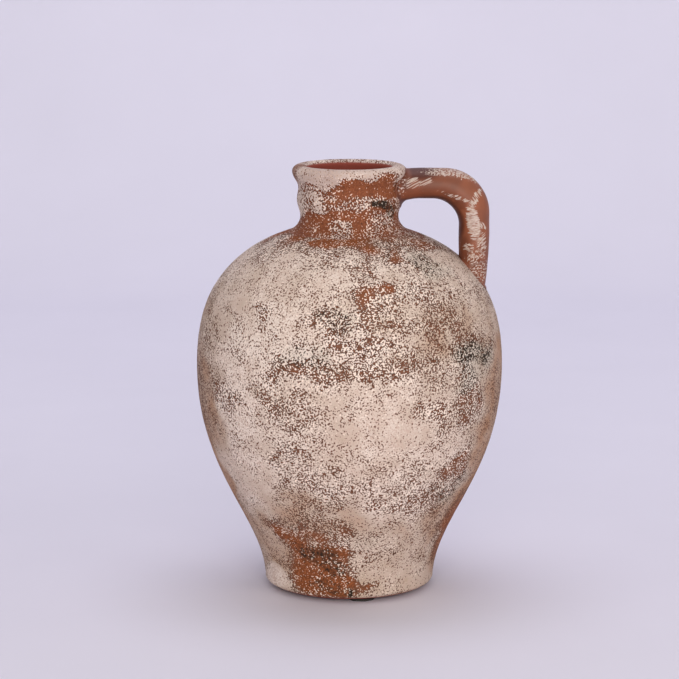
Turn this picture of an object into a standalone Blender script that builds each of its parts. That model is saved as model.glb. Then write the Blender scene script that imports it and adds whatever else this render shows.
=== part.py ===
"""One-handled terracotta vase, built as such a pot is made.

The bellied body is formed in two halves that lap at the widest line. The neck is a collar of its own that
sits in a rebate at the top of the shoulder. The handle is luted to the neck and the shoulder, and rubber
pads lie under the foot.

Metres, +Z up. The pads stand on z = 0, the vessel turns about the Z axis and the handle is on the +X side.
"""

import math

import bmesh
import bpy

OBJECT_NAME = "ceramic_vase"

# Clay and joints
BODY_WALL = 0.0075
FLOOR_THICKNESS = 0.010
JOINT_GAP = 0.0003  # left between two pieces that touch
LAP_HEIGHT = 0.006  # tongue of the lower half inside the upper half

# Foot
FOOT_RADIUS = 0.0600  # where the wall starts, above the rounded edge
FOOT_EDGE_WIDTH = 0.0105
FOOT_EDGE_HEIGHT = 0.0050
FOOT_RING_WIDTH = 0.0165  # flat ring that stands on the pads
FOOT_HOLLOW_DEPTH = 0.0030
FOOT_HOLLOW_SLOPE = 0.0030
FLOOR_CORNER = 0.0120

# Body, with its heights measured from the floor and from each other
BELLY_RADIUS = 0.1078
BELLY_HEIGHT = 0.1598
SHOULDER_RISE = 0.0935  # belly to the foot of the neck
FOOT_LEAN = math.radians(3.8)
SHOULDER_SLOPE = math.radians(18.6)
FOOT_FULLNESS = 0.297  # how far each end pulls its curve, as a share of the rise or of the width
LOWER_BELLY_FULLNESS = 0.509
UPPER_BELLY_FULLNESS = 0.638
SHOULDER_FULLNESS = 0.551

# Neck, with its radii measured from the waist and its heights from each other
WAIST_RADIUS = 0.0344
NECK_WALL = 0.0054  # at the waist, the thinnest place
NECK_FLARE = 0.0084  # how far the neck's foot spreads over the shoulder
RIDGE_PROUD = 0.0025
COLLAR_PROUD = 0.0016
LIP_PROUD = 0.0059
FLARE_RISE = 0.0112
WAIST_TO_RIDGE = 0.0110
RIDGE_TO_COLLAR = 0.0085
COLLAR_TO_LIP = 0.0115
LIP_CROWN = 0.0045
SEAT_WIDTH = 0.0053  # ledge in the shoulder that carries the neck

# Handle
HANDLE_THICKNESS = 0.0216  # seen from the side, where it is thinnest
HANDLE_WIDTH = 0.0260  # seen from the front
HANDLE_BELOW_LIP = 0.0023
HANDLE_SETBACK = 0.0098  # outer face of the limb to the widest line of the belly
HANDLE_BEND = 0.0250
HANDLE_ROOT_LENGTH = 0.0140
HANDLE_ROOT_DROP = 0.0011  # the centre line climbs this much as it leaves the neck
LIMB_LEAN = math.radians(2.2)
ROOT_SWELL_RATIO = 1.06  # thickness at a place, as a share of the handle's own
BEND_SWELL_RATIO = 1.19
LIMB_SWELL_RATIO = 1.02
LANDING_SWELL_RATIO = 1.12

# Rubber pads
PAD_RADIUS = 0.0100
PAD_THICKNESS = 0.0017
PAD_EDGE = 0.0003
PAD_SHOWS = 0.0035  # how far a pad reaches past the flat ring of the foot
PAD_FIRST_ANGLE = math.radians(-79)
PAD_NAMES = ("rubber_pad_front", "rubber_pad_rear_right", "rubber_pad_rear_left")

# Fineness of the curves
ROUND_STEPS = 64
BODY_STEPS = 12
INNER_STEPS = 6
NECK_STEPS = 4
EDGE_STEPS = 4
CROWN_STEPS = 8
ROOT_STEPS = 3
BEND_STEPS = 12
HANDLE_ROUNDNESS = 8
PAD_SEGMENTS = 32
SMOOTH_ANGLE = math.radians(40)
WELD = 0.00001

# Heights and radii that follow from the sizes above
BASE_HEIGHT = PAD_THICKNESS + JOINT_GAP
FLOOR_HEIGHT = BASE_HEIGHT + FLOOR_THICKNESS
FOOT_FLAT_RADIUS = FOOT_RADIUS - FOOT_EDGE_WIDTH
NECK_FOOT_HEIGHT = BELLY_HEIGHT + SHOULDER_RISE
NECK_FOOT_RADIUS = WAIST_RADIUS + NECK_FLARE
WAIST_HEIGHT = NECK_FOOT_HEIGHT + FLARE_RISE
RIDGE_HEIGHT = WAIST_HEIGHT + WAIST_TO_RIDGE
COLLAR_HEIGHT = RIDGE_HEIGHT + RIDGE_TO_COLLAR
LIP_HEIGHT = COLLAR_HEIGHT + COLLAR_TO_LIP
TOP_HEIGHT = LIP_HEIGHT + LIP_CROWN
BORE_RADIUS = WAIST_RADIUS - NECK_WALL
LIP_RADIUS = WAIST_RADIUS + LIP_PROUD
SEAT_HOLE_RADIUS = NECK_FOOT_RADIUS - SEAT_WIDTH
MID_WALL_RADIUS = BELLY_RADIUS - BODY_WALL / 2


def clear_scene():
    for thing in list(bpy.data.objects):
        bpy.data.objects.remove(thing, do_unlink=True)


def new_collection(name):
    collection = bpy.data.collections.new(name)
    bpy.context.scene.collection.children.link(collection)
    return collection


def new_material(name, colour, roughness):
    material = bpy.data.materials.new(name)
    material.use_nodes = True
    shader = material.node_tree.nodes["Principled BSDF"]
    shader.inputs["Base Color"].default_value = (*colour, 1.0)
    shader.inputs["Roughness"].default_value = roughness
    shader.inputs["Metallic"].default_value = 0.0
    return material


# Profiles are lists of (radius, height) points


def bezier(start, start_pull, end_pull, end, steps):
    """Points of a cubic curve, both ends included."""
    points = []
    for step in range(steps + 1):
        t = step / steps
        shares = ((1 - t) ** 3, 3 * t * (1 - t) ** 2, 3 * t * t * (1 - t), t**3)
        controls = (start, start_pull, end_pull, end)
        points.append(tuple(sum(s * c[axis] for s, c in zip(shares, controls)) for axis in (0, 1)))
    return points


def ease(start, end, steps):
    """Points of a soft swell between two heights, upright at both ends, without its start."""
    points = []
    for step in range(1, steps + 1):
        t = step / steps
        blend = (1 - math.cos(math.pi * t)) / 2
        points.append((start[0] + (end[0] - start[0]) * blend, start[1] + (end[1] - start[1]) * t))
    return points


def arc(centre, radius_across, radius_up, start, end, steps):
    """Points of an elliptical arc between two angles, both ends included."""
    points = []
    for step in range(steps + 1):
        angle = start + (end - start) * step / steps
        across = centre[0] + radius_across * math.cos(angle)
        points.append((across, centre[1] + radius_up * math.sin(angle)))
    return points


def offset(points, distance):
    """The points of a climbing profile, moved square to it: outwards, or inwards if distance is negative."""
    moved = []
    for index, (radius, height) in enumerate(points):
        before = points[max(index - 1, 0)]
        after = points[min(index + 1, len(points) - 1)]
        run, climb = after[0] - before[0], after[1] - before[1]
        length = math.hypot(run, climb)
        moved.append((radius + distance * climb / length, height - distance * run / length))
    return moved


def radius_at(points, height):
    """Radius of a climbing profile at a height."""
    for (low_radius, low), (high_radius, high) in zip(points, points[1:]):
        if low <= height <= high:
            return low_radius + (high_radius - low_radius) * (height - low) / (high - low)
    return points[-1][0] if height > points[-1][1] else points[0][0]


def height_at(points, radius):
    """Height of a profile that climbs inwards, at a radius."""
    for (outer, low), (inner, high) in zip(points, points[1:]):
        if inner <= radius <= outer:
            return low + (high - low) * (outer - radius) / (outer - inner)
    return points[-1][1]


def lower_outline(steps):
    """Outer side of the lower half, from the foot up to the belly."""
    rise = BELLY_HEIGHT - BASE_HEIGHT - FOOT_EDGE_HEIGHT
    foot = (FOOT_RADIUS, BASE_HEIGHT + FOOT_EDGE_HEIGHT)
    pull = FOOT_FULLNESS * rise
    foot_pull = (foot[0] + pull * math.sin(FOOT_LEAN), foot[1] + pull * math.cos(FOOT_LEAN))
    belly_pull = (BELLY_RADIUS, BELLY_HEIGHT - LOWER_BELLY_FULLNESS * rise)
    return bezier(foot, foot_pull, belly_pull, (BELLY_RADIUS, BELLY_HEIGHT), steps)


def upper_outline(steps):
    """Outer side of the upper half, from the belly up to the neck's foot."""
    pull = SHOULDER_FULLNESS * (BELLY_RADIUS - NECK_FOOT_RADIUS)
    neck_foot = (NECK_FOOT_RADIUS, NECK_FOOT_HEIGHT)
    across, down = pull * math.cos(SHOULDER_SLOPE), pull * math.sin(SHOULDER_SLOPE)
    shoulder_pull = (neck_foot[0] + across, neck_foot[1] - down)
    belly_pull = (BELLY_RADIUS, BELLY_HEIGHT + UPPER_BELLY_FULLNESS * SHOULDER_RISE)
    return bezier((BELLY_RADIUS, BELLY_HEIGHT), belly_pull, shoulder_pull, neck_foot, steps)


def neck_outline():
    """Outer side of the neck, from its foot up to the widest line of the lip."""
    neck_foot = (NECK_FOOT_RADIUS, NECK_FOOT_HEIGHT)
    across = NECK_FLARE / 2
    foot_pull = (neck_foot[0] - across, neck_foot[1] + across * math.tan(SHOULDER_SLOPE))
    waist_pull = (WAIST_RADIUS, WAIST_HEIGHT - FLARE_RISE / 2)
    points = bezier(neck_foot, foot_pull, waist_pull, (WAIST_RADIUS, WAIST_HEIGHT), NECK_STEPS + 1)
    for proud, height in (
        (RIDGE_PROUD, RIDGE_HEIGHT),
        (COLLAR_PROUD, COLLAR_HEIGHT),
        (LIP_PROUD, LIP_HEIGHT),
    ):
        points += ease(points[-1], (WAIST_RADIUS + proud, height), NECK_STEPS)
    return points


def lip_crown():
    """Rounded top of the lip, from its outer side over to the bore."""
    half = (LIP_RADIUS - BORE_RADIUS) / 2
    return arc((BORE_RADIUS + half, LIP_HEIGHT), half, LIP_CROWN, 0, math.pi, CROWN_STEPS)


def turned(name, profile, closed, collection):
    """A profile turned about the vessel's axis. It runs down its outer side, so that its faces point out."""
    mesh = bpy.data.meshes.new(name)
    edges = [(index, index + 1) for index in range(len(profile) - 1)]
    if closed:
        edges.append((len(profile) - 1, 0))
    mesh.from_pydata([(radius, 0, height) for radius, height in profile], edges, [])
    thing = bpy.data.objects.new(name, mesh)
    collection.objects.link(thing)
    screw = thing.modifiers.new("turned", "SCREW")
    screw.axis = "Z"
    screw.angle = 2 * math.pi
    screw.steps = ROUND_STEPS
    screw.render_steps = ROUND_STEPS
    screw.use_merge_vertices = True
    screw.merge_threshold = WELD
    screw.use_smooth_shade = True
    return thing


def make_lower_body(collection):
    """Bowl of the body: floor, foot ring and wall, with a tongue round its inner edge."""
    outer = lower_outline(BODY_STEPS)
    wall = offset(lower_outline(INNER_STEPS), -BODY_WALL)
    upper_wall = offset(upper_outline(BODY_STEPS), -BODY_WALL)
    corner_height = FLOOR_HEIGHT + FLOOR_CORNER
    corner_radius = radius_at(wall, corner_height)
    corner_centre = (corner_radius - FLOOR_CORNER, corner_height)
    hollow_radius = FOOT_FLAT_RADIUS - FOOT_RING_WIDTH
    tongue_top = BELLY_HEIGHT + LAP_HEIGHT

    profile = [(0, FLOOR_HEIGHT)]
    profile += arc(corner_centre, FLOOR_CORNER, FLOOR_CORNER, -math.pi / 2, 0, EDGE_STEPS)
    profile += [point for point in wall if point[1] > corner_height + WELD]
    profile += [
        (radius_at(upper_wall, tongue_top), tongue_top),
        (MID_WALL_RADIUS - JOINT_GAP / 2, tongue_top),
        (MID_WALL_RADIUS - JOINT_GAP / 2, BELLY_HEIGHT),
    ]
    profile += reversed(outer[1:])
    foot_centre = (FOOT_FLAT_RADIUS, BASE_HEIGHT + FOOT_EDGE_HEIGHT)
    profile += arc(foot_centre, FOOT_EDGE_WIDTH, FOOT_EDGE_HEIGHT, 0, -math.pi / 2, EDGE_STEPS)
    profile += [
        (hollow_radius, BASE_HEIGHT),
        (hollow_radius - FOOT_HOLLOW_SLOPE, BASE_HEIGHT + FOOT_HOLLOW_DEPTH),
        (0, BASE_HEIGHT + FOOT_HOLLOW_DEPTH),
    ]
    return turned("lower_body", profile, False, collection)


def seat_heights():
    """Heights at the shoulder's hole: the ledge that carries the neck, and the inside of the wall."""
    wall_end = offset(upper_outline(BODY_STEPS), -BODY_WALL)[-1]
    inside = wall_end[1] + (wall_end[0] - SEAT_HOLE_RADIUS) * math.tan(SHOULDER_SLOPE)
    return (NECK_FOOT_HEIGHT + inside) / 2, inside


def make_upper_body(collection):
    """Shoulder of the body, lapped over the tongue below and rebated for the neck above."""
    ledge, inside = seat_heights()
    wall = offset(upper_outline(INNER_STEPS), -BODY_WALL)
    bottom = BELLY_HEIGHT + JOINT_GAP
    lap_top = bottom + LAP_HEIGHT
    outer = [point for point in upper_outline(BODY_STEPS) if point[1] > bottom + WELD]

    profile = list(reversed(outer))
    profile += [
        (BELLY_RADIUS, bottom),
        (MID_WALL_RADIUS + JOINT_GAP / 2, bottom),
        (MID_WALL_RADIUS + JOINT_GAP / 2, lap_top),
        (radius_at(wall, lap_top), lap_top),
    ]
    profile += [p for p in wall if p[1] > lap_top + WELD and p[0] > SEAT_HOLE_RADIUS + WELD]
    profile += [(SEAT_HOLE_RADIUS, inside), (SEAT_HOLE_RADIUS, ledge), (NECK_FOOT_RADIUS, ledge)]
    return turned("upper_body", profile, True, collection)


def make_neck_collar(collection):
    """Neck with its ridge and rounded lip, and a spigot that drops into the shoulder's hole."""
    ledge, inside = seat_heights()
    flange_radius = NECK_FOOT_RADIUS - JOINT_GAP
    spigot_radius = SEAT_HOLE_RADIUS - JOINT_GAP
    outer = [point for point in neck_outline() if point[0] < flange_radius or point[1] > WAIST_HEIGHT]
    flange_top = NECK_FOOT_HEIGHT + JOINT_GAP * math.tan(SHOULDER_SLOPE)

    profile = list(reversed(outer))
    profile += [
        (flange_radius, flange_top),
        (flange_radius, ledge + JOINT_GAP),
        (spigot_radius, ledge + JOINT_GAP),
        (spigot_radius, inside),
        (BORE_RADIUS, inside),
    ]
    profile += list(reversed(lip_crown()))[:-1]
    return turned("neck_collar", profile, True, collection)


def handle_path():
    """Centre line of the handle, as (distance from the axis, height, swell)."""
    half = HANDLE_THICKNESS / 2
    top = TOP_HEIGHT - HANDLE_BELOW_LIP - half
    limb = BELLY_RADIUS - HANDLE_SETBACK - half * LIMB_SWELL_RATIO
    bend = max(HANDLE_BEND, 0.75 * HANDLE_THICKNESS)
    bend_centre = (limb - bend, top - bend)
    landing = height_at(upper_outline(BODY_STEPS), limb)
    bottom = height_at(upper_outline(BODY_STEPS), limb + half * LIMB_SWELL_RATIO) - HANDLE_THICKNESS
    lean = math.tan(LIMB_LEAN)

    root_height = top - HANDLE_ROOT_DROP
    path = [(BORE_RADIUS / 2, root_height, ROOT_SWELL_RATIO), (WAIST_RADIUS, root_height, ROOT_SWELL_RATIO)]
    for step in range(1, ROOT_STEPS + 1):
        share = (1 - math.cos(math.pi * step / ROOT_STEPS)) / 2
        across = WAIST_RADIUS + HANDLE_ROOT_LENGTH * step / ROOT_STEPS
        swell = ROOT_SWELL_RATIO + (1 - ROOT_SWELL_RATIO) * share
        path.append((across, root_height + HANDLE_ROOT_DROP * share, swell))
    for step, point in enumerate(arc(bend_centre, bend, bend, math.pi / 2, 0, BEND_STEPS)):
        turned_share = step / BEND_STEPS
        swell = 1 + (LIMB_SWELL_RATIO - 1) * turned_share
        swell += (BEND_SWELL_RATIO - (1 + LIMB_SWELL_RATIO) / 2) * math.sin(math.pi * turned_share) ** 2
        path.append((*point, swell))
    for height, swell in (
        (landing + HANDLE_THICKNESS, LIMB_SWELL_RATIO),
        (landing, LANDING_SWELL_RATIO),
        (bottom, LANDING_SWELL_RATIO),
    ):
        path.append((limb - (bend_centre[1] - height) * lean, height, swell))
    return path


def make_handle(collection, cutters):
    """Oval strap that leaves the neck, bends down and lands on the shoulder."""
    path = handle_path()
    curve = bpy.data.curves.new("handle_path", "CURVE")
    curve.dimensions = "3D"
    curve.bevel_depth = HANDLE_THICKNESS / 2
    curve.bevel_resolution = HANDLE_ROUNDNESS
    curve.use_fill_caps = True
    spline = curve.splines.new("POLY")
    spline.points.add(len(path) - 1)
    for point, (across, height, swell) in zip(spline.points, path):
        point.co = (across, 0, height, 1)
        point.radius = swell
    sweep = bpy.data.objects.new("handle_path", curve)
    collection.objects.link(sweep)

    bpy.context.view_layer.update()
    graph = bpy.context.evaluated_depsgraph_get()
    mesh = bpy.data.meshes.new_from_object(sweep.evaluated_get(graph))
    mesh.name = "handle"
    shape = bmesh.new()
    shape.from_mesh(mesh)
    bmesh.ops.remove_doubles(shape, verts=shape.verts, dist=WELD)
    bmesh.ops.scale(shape, verts=shape.verts, vec=(1, HANDLE_WIDTH / HANDLE_THICKNESS, 1))
    bmesh.ops.recalc_face_normals(shape, faces=shape.faces)
    shape.to_mesh(mesh)
    shape.free()
    bpy.data.objects.remove(sweep, do_unlink=True)

    handle = bpy.data.objects.new("handle", mesh)
    collection.objects.link(handle)
    trim = handle.modifiers.new("fitted_to_the_vessel", "BOOLEAN")
    trim.operation = "DIFFERENCE"
    trim.solver = "EXACT"
    trim.object = make_vessel_cutter(cutters)
    return handle


def make_vessel_cutter(cutters):
    """The vessel's outer shape, filled and grown by the joint gap, which trims the handle's roots."""
    lip_side = lip_crown()[1 : CROWN_STEPS // 2 + 1]
    grown = offset(upper_outline(BODY_STEPS) + neck_outline()[1:] + lip_side, JOINT_GAP)
    profile = [(0, grown[-1][1])] + list(reversed(grown)) + [(0, BELLY_HEIGHT)]
    cutter = turned("vessel_cutter", profile, False, cutters)
    cutter.hide_render = True
    cutter.display_type = "WIRE"
    return cutter


def make_rubber_pad(name, angle, collection):
    """Round pad stuck to the foot's ring, reaching a little way past it."""
    circle = FOOT_FLAT_RADIUS + PAD_SHOWS - PAD_RADIUS
    shape = bmesh.new()
    bmesh.ops.create_cone(
        shape,
        cap_ends=True,
        segments=PAD_SEGMENTS,
        radius1=PAD_RADIUS,
        radius2=PAD_RADIUS,
        depth=PAD_THICKNESS,
    )
    rims = [edge for edge in shape.edges if abs(edge.verts[0].co.z - edge.verts[1].co.z) < WELD]
    bmesh.ops.bevel(shape, geom=rims, offset=PAD_EDGE, segments=1, profile=0.5, affect="EDGES")
    mesh = bpy.data.meshes.new(name)
    shape.to_mesh(mesh)
    shape.free()
    pad = bpy.data.objects.new(name, mesh)
    pad.location = (circle * math.cos(angle), circle * math.sin(angle), PAD_THICKNESS / 2)
    collection.objects.link(pad)
    return pad


def finish(thing, material):
    thing.data.materials.clear()
    thing.data.materials.append(material)
    if thing.data.polygons:
        thing.data.shade_smooth()
        thing.data.set_sharp_from_angle(angle=SMOOTH_ANGLE)


def build():
    clear_scene()
    parts = new_collection(OBJECT_NAME)
    cutters = new_collection("cutters")
    body_clay = new_material("slipped_body_clay", (0.49, 0.35, 0.29), 0.9)
    shoulder_clay = new_material("slipped_shoulder_clay", (0.49, 0.36, 0.30), 0.9)
    neck_clay = new_material("scrubbed_neck_clay", (0.34, 0.19, 0.14), 0.85)
    handle_clay = new_material("bare_handle_clay", (0.27, 0.13, 0.09), 0.8)
    rubber = new_material("black_rubber", (0.02, 0.02, 0.02), 0.8)

    finish(make_lower_body(parts), body_clay)
    finish(make_upper_body(parts), shoulder_clay)
    finish(make_neck_collar(parts), neck_clay)
    finish(make_handle(parts, cutters), handle_clay)
    for index, name in enumerate(PAD_NAMES):
        angle = PAD_FIRST_ANGLE + index * 2 * math.pi / len(PAD_NAMES)
        finish(make_rubber_pad(name, angle, parts), rubber)


build()
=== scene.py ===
"""One-handled terracotta vase, its red clay showing through a worn, sponged coat of cream slip.

The vessel is turned in three parts on one axis: bowl, shoulder and neck. The handle is a pulled strap that is
smoothed into the neck and the shoulder, and three rubber pads lie under the foot. Metres, +Z up. The front of
the vase looks along -Y and its handle stands at +X.
"""

import math

import bmesh
import bpy
import numpy as np
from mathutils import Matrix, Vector, noise


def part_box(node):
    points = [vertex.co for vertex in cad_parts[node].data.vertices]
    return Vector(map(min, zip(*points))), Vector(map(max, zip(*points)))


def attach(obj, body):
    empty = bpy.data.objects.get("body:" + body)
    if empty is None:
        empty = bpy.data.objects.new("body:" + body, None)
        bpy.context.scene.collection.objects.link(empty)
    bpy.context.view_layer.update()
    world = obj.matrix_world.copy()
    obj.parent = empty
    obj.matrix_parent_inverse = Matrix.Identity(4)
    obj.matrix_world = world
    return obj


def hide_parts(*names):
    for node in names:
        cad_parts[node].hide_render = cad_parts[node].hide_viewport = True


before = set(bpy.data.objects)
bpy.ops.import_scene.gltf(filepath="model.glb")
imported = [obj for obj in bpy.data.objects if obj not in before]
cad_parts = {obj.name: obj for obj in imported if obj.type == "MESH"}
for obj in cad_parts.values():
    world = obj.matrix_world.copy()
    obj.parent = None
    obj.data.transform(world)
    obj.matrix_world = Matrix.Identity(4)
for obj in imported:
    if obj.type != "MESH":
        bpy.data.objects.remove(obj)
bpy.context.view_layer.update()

# Camera, fitted to the outline of the vase in the photograph
CAMERA_PLACE = (-0.006836, -1.788, 0.49863)
CAMERA_TILT = math.radians(79.775)
CAMERA_LENS = 136.76
SENSOR_WIDTH = 36.0

# Sizes that the frame gives
JOINT_GAP = 0.0003
LAP_HEIGHT = 0.006
BASE_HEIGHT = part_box("lower_body")[0][2]
BELLY_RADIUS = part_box("lower_body")[1][0]
BELLY_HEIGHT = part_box("lower_body")[1][2] - LAP_HEIGHT
NECK_FOOT_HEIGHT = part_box("upper_body")[1][2]
NECK_FOOT_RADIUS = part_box("neck_collar")[1][0] + JOINT_GAP
TOP_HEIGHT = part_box("neck_collar")[1][2]
HANDLE_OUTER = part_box("handle")[1][0]
HANDLE_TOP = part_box("handle")[1][2]

# Body
BODY_WALL = 0.0075
MID_WALL_RADIUS = BELLY_RADIUS - BODY_WALL / 2
FLOOR_THICKNESS = 0.0100
FLOOR_HEIGHT = BASE_HEIGHT + FLOOR_THICKNESS
FLOOR_CORNER = 0.0120
FOOT_RADIUS = 0.0600
FOOT_EDGE_WIDTH = 0.0105
FOOT_EDGE_HEIGHT = 0.0050
FOOT_RING_WIDTH = 0.0165
FOOT_HOLLOW_DEPTH = 0.0030
FOOT_LEAN = math.radians(3.8)
SHOULDER_SLOPE = math.radians(18.6)
FOOT_FULLNESS = 0.297
LOWER_BELLY_FULLNESS = 0.509
UPPER_BELLY_FULLNESS = 0.638
SHOULDER_FULLNESS = 0.551

# Neck, with its places measured down from the top and in from its foot
NECK_WALL = 0.0054
NECK_FLARE = 0.0084
SEAT_WIDTH = 0.0053
LIP_CROWN = 0.0045
COLLAR_TO_LIP = 0.0115
RIDGE_TO_COLLAR = 0.0085
WAIST_TO_RIDGE = 0.0110
RIDGE_PROUD = 0.0025
COLLAR_PROUD = 0.0016
LIP_PROUD = 0.0059
BORE_BEVEL = 0.0020
WAIST_RADIUS = NECK_FOOT_RADIUS - NECK_FLARE
BORE_RADIUS = WAIST_RADIUS - NECK_WALL
SEAT_HOLE_RADIUS = NECK_FOOT_RADIUS - SEAT_WIDTH
LIP_HEIGHT = TOP_HEIGHT - LIP_CROWN
COLLAR_HEIGHT = LIP_HEIGHT - COLLAR_TO_LIP
RIDGE_HEIGHT = COLLAR_HEIGHT - RIDGE_TO_COLLAR
WAIST_HEIGHT = RIDGE_HEIGHT - WAIST_TO_RIDGE

# Handle
HANDLE_THICKNESS = 0.0216
HANDLE_WIDTH = 0.0260
HANDLE_ROOT = 0.0200  # where the handle starts, inside the neck's wall
HANDLE_ROOT_LENGTH = 0.0140
HANDLE_END = 0.1950  # height of its lower end, inside the shoulder's wall
INNER_BEND = 0.0186
OUTER_BEND = 0.0318
INNER_ROOT_DROP = 0.0017  # how much lower each edge lies at the neck
OUTER_ROOT_DROP = 0.0005
LIMB_TURN_HEIGHT = 0.2500  # below it, the limb's outer edge draws in towards the shoulder
LIMB_DRAW = 0.0015
LIMB_DRAW_HEIGHT = 0.0264
ROOT_SINK = 0.0015  # how far the handle's ends go into the wall

# Rubber pads
PAD_EDGE = 0.0003

# Clay smoothed into the corners at the handle's roots, and the share of it that is left where it is thinnest
NECK_FILLET = 0.0048
NECK_FILLET_LEAST = 0.2
SHOULDER_FILLET = 0.0030
SHOULDER_FILLET_LEAST = 0.5
FILLET_SINK = 0.0007  # the smoothed clay ends this far under the wall's nominal face

# Hand-made unevenness, which only ever takes clay away
WOBBLE = 0.0005
WOBBLE_PERIOD = 0.060
THROWING_MARK = 0.00012
THROWING_PERIOD = 0.0055
HANDLE_WOBBLE = 0.0004
HANDLE_WOBBLE_PERIOD = 0.020
NOISE_SPAN = 1.4  # between the noise's lowest and highest value

# Fineness of the meshes
RING_STEPS = 240
OUTER_STEP = 0.0020
INNER_STEP = 0.0040
NECK_STEP = 0.0008
BORE_STEP = 0.0015
CROWN_STEPS = 24
CORNER_STEPS = 8
FOOT_EDGE_STEPS = 12
HANDLE_RINGS = 210
HANDLE_SIDES = 112
BEND_STEPS = 24
ROOT_SHARES = (0, 0.25, 0.5, 0.75, 1)
LIMB_SHARES = (0.2, 0.4, 0.55, 0.7, 0.85, 1)
OPEN_SHARES = (0.4, 0.6)  # of the handle's length, between which all of it is outside the wall
HALVINGS = 24
PAD_EDGE_STEPS = 4
PAD_SIDES = 96
NEAR_AXIS = 0.0020
NEAR_CORNER = 0.0010  # points of a wall that lie nearer than this to a corner are left out
SHARP_ANGLE = math.radians(50)
WELD = 0.000005

# Sizes of the marks. A coarse sponge leaves flecks of 1 to 2 mm. Real grit is finer than 0.5 mm, but is drawn
# at that size so that it shows
FLECK_PERIOD = 0.00145
GRAIN_FINENESS = 1.33
CLUSTER_PERIOD = 0.0080
GRIT_PERIOD = 0.0005
SMUDGE_PERIOD = 0.0020
TONE_PERIOD = 0.030
WASH_PERIOD = 0.016
PATCH_PERIOD = 0.045
MOTTLE_PERIOD = 0.016
STRAP_PATCH_PERIOD = 0.018
STRAP_TONE_PERIOD = 0.014
DRIFT_PERIOD = 0.030
RUBBER_GRAIN_PERIOD = 0.0006
SLIP_THICKNESS = 0.00015
RUBBER_GRAIN_DEPTH = 0.0001

# Flecks, in the noise's own units
FLECK_TURN = (0.61, 0.43, 0.27)  # radians, so that no rows of flecks line up with the axes
BODY_FLECK_SCALE = (1.0, 1.0, 1.0)
NECK_FLECK_SCALE = (1.08, 1.08, 0.88)
FOLD_MIDDLE = 0.081  # half of the noise lies nearer to its middle than this
GRAIN_SHARE = 0.85
CLUSTER_SHARE = 0.28
COVER_GAIN = 0.40
COVER_SOFTNESS = 0.024
THICK_SLIP = 0.12
OPEN_CLAY = 0.22
# the bright dabs are lighter as thicker slip and as a painted highlight
BRIGHT_FALL = 0.30
BRIGHT_START = -0.02
BRIGHT_FULL = 0.10
STREAK_SOFTNESS = 0.055
HAIRS_IN_A_STREAK = 2.3
SHEER_START = 0.36
SHEER_END = 0.58
SHEEREST = 0.45

# Tan, wash and soot
PLAIN_TAN = 0.45
TAN_MOTTLE = 1.6
DULL_START = 0.5
DULL_FULL = 1.2
BRIGHT_ON_TAN = 0.35  # share of the bright dabs that is left where the slip is tan
VEIL_START = 0.40
VEIL_FULL = 0.65
WORN_START = 0.05
WORN_FULL = 0.36
SMUDGE_GAIN = 1.7
SMUDGE_START = 0.10
SMUDGE_FULL = 0.85
SOOT_ON_SLIP = 0.45
STRAP_TONE_START = 0.35
STRAP_TONE_FULL = 0.65

# Gloss and grit
CLAY_IOR = 1.45
RUBBER_IOR = 1.52
POROUS_SHEEN = 0.2  # open pores scatter most of the gloss
BODY_ROUGHNESS = 0.80
NECK_ROUGHNESS = 0.70
STRAP_ROUGHNESS = 0.50
SLIP_ROUGHNESS = 0.95
RUBBER_ROUGHNESS = (0.55, 0.80)
PAPER_ROUGHNESS = 0.90
PAPER_CASTS = 6.0  # swells of the paper's tint in a metre
BODY_GRIT = 0.35
STRAP_GRIT = 0.20
RELIEF_STRENGTH = 0.6
RUBBER_RELIEF = 0.4

# Random swells: waves in one, how far strokes drift, how much the level swells
CLOUD_WAVES = 32
DRIFT_DEGREES = 2.5
DRIFT_MILLIMETRES = 2.5
MOTTLE = 0.065
SEEN_PATCHES = 0.03
UNSEEN_PATCHES = 0.14
UNSEEN_SIDE = (70, 110)  # degrees from the front, over which the side that isn't seen begins
UNSEEN_SOOT = 0.6
SOOTY_PATCHES = (1.0, 1.8)

# Where masks begin and end
STROKE_FULL = 0.65  # as shares of a stroke's half sizes
STROKE_END = 1.35
INNER_DEPTH = 0.0020  # inside the outline by more than this, a point is on the inner wall
BARE_RIM = (0.0004, 0.0016)  # outwards from the bore, over which the inner clay gives way to slip
STRAP_FRONT = (-0.003, 0.004)  # in front of the handle's middle, over which its marks come in
TOP_FACING = (0.56, 0.78)
TOP_START = (46, 60)
TOP_COVER = 0.60
# darkening painted as shade on the handle's inner side, where it faces the loop's middle
INNER_FACING = (0.62, 0.88)
PAINTED_INNER_SHADE = 0.85
LOOP_MIDDLE = (0.057, 0, 0.262)
BARE_STRAP = -0.3
STRAP_PATCHES = 0.5
BLOT_SIZE = 1.4
BRISTLE_SHIFT = 7.0  # gives each mark its own part of the noise

# Colours
SLIP_PINK = "#E9D7CD"
SLIP_GREY = "#E1D6CB"
SLIP_THIN = "#C9B1A3"
SLIP_STAIN = "#A9A79A"
STREAK_PINK = "#D6C4BE"
STREAK_GREY = "#CDBFB2"
CLAY_VEILED = "#96786A"
BROWN_WASH = "#E2C3AB"
HANDLE_RED = "#94553A"
HANDLE_BROWN = "#7E4A34"
# HANDLE_DARK is the colour of stains on the handle and of painted shade on its inner side and lower limb
HANDLE_DARK = "#4C1F0F"
INNER_CLAY = "#90473C"
SOOT = "#30271F"
RUBBER_BLACK = "#141312"
RUBBER_WORN = "#2B2926"
PAPER_DARKER = "#E0DEEB"
PAPER_LIGHTER = "#E6E4F1"
SKY = "#F6F3F2"
BODY_FINISH = {
    "proud slip highlight": "#F4E1D3",
    "tan slip": "#C0AC9B",
    "red clay": "#A05A33",
    "brown clay": "#8B502F",
    "shaded clay": "#774429",
    "worn clay": "#7F5542",
    "pit shade and dirt": "#452C23",
}
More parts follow.
